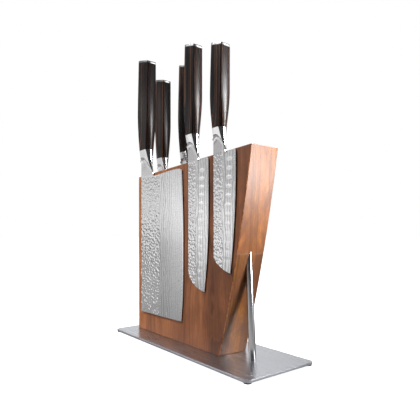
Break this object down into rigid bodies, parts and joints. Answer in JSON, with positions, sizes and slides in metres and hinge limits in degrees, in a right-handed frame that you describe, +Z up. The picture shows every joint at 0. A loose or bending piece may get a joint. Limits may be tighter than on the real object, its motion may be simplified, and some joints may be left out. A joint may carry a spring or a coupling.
{
  "type": "magnetic knife block with knives",
  "caption": "Upright wooden magnetic knife block with a flared side on a steel base plate with a leaning support rod, and kitchen knives held flat on its faces.",
  "frame": {"origin": "on the table, under the middle of the base plate", "axes": "+X along the base plate towards the support rod, the front face with the cleaver looks to -Y, +Z up"},
  "size_m": [0.27, 0.0966, 0.3783],
  "materials": {
    "brushed_plate": "brushed",
    "black_rubber": "matte",
    "zinc_screws": "satin",
    "polished_rod": "polished",
    "magnet_nickel": "satin",
    "block_wood": "oiled",
    "blade_steel": "hammered and satin",
    "polished_bolster": "polished",
    "grip_wood": "satin, resin-soaked",
    "polished_cap": "polished"
  },
  "bodies": {
    "stand": {"base_plate": "brushed_plate", "rubber_feet": "black_rubber", "block_screws": "zinc_screws", "rod_screw": "zinc_screws", "support_rod": "polished_rod", "block_stave_1": "block_wood", "block_stave_2": "block_wood", "block_stave_3": "block_wood", "block_stave_4": "block_wood", "block_stave_5": "block_wood", "bar_magnets": "magnet_nickel"},
    "cleaver": {"cleaver_blade": "blade_steel", "cleaver_bolster": "polished_bolster", "cleaver_handle": "grip_wood", "cleaver_end_cap": "polished_cap"},
    "santoku": {"santoku_blade": "blade_steel", "santoku_bolster": "polished_bolster", "santoku_handle": "grip_wood", "santoku_end_cap": "polished_cap"},
    "small_santoku": {"small_santoku_blade": "blade_steel", "small_santoku_bolster": "polished_bolster", "small_santoku_handle": "grip_wood", "small_santoku_end_cap": "polished_cap"},
    "chef_knife": {"chef_knife_blade": "blade_steel", "chef_knife_bolster": "polished_bolster", "chef_knife_handle": "grip_wood", "chef_knife_end_cap": "polished_cap"},
    "slicing_knife": {"slicing_knife_blade": "blade_steel", "slicing_knife_bolster": "polished_bolster", "slicing_knife_handle": "grip_wood", "slicing_knife_end_cap": "polished_cap"}
  },
  "joints": [
    {"name": "cleaver_pull_off", "type": "slide", "parent": "stand", "child": "cleaver", "axis": [0, -1, 0], "range_m": [0, 0.12]},
    {"name": "santoku_pull_off", "type": "slide", "parent": "stand", "child": "santoku", "axis": [0, -1, 0], "range_m": [0, 0.12]},
    {"name": "small_santoku_pull_off", "type": "slide", "parent": "stand", "child": "small_santoku", "axis": [0, -1, 0], "range_m": [0, 0.12]},
    {"name": "chef_knife_pull_off", "type": "slide", "parent": "stand", "child": "chef_knife", "axis": [0, 1, 0], "range_m": [0, 0.12]},
    {"name": "slicing_knife_pull_off", "type": "slide", "parent": "stand", "child": "slicing_knife", "axis": [0, 1, 0], "range_m": [0, 0.12]}
  ]
}
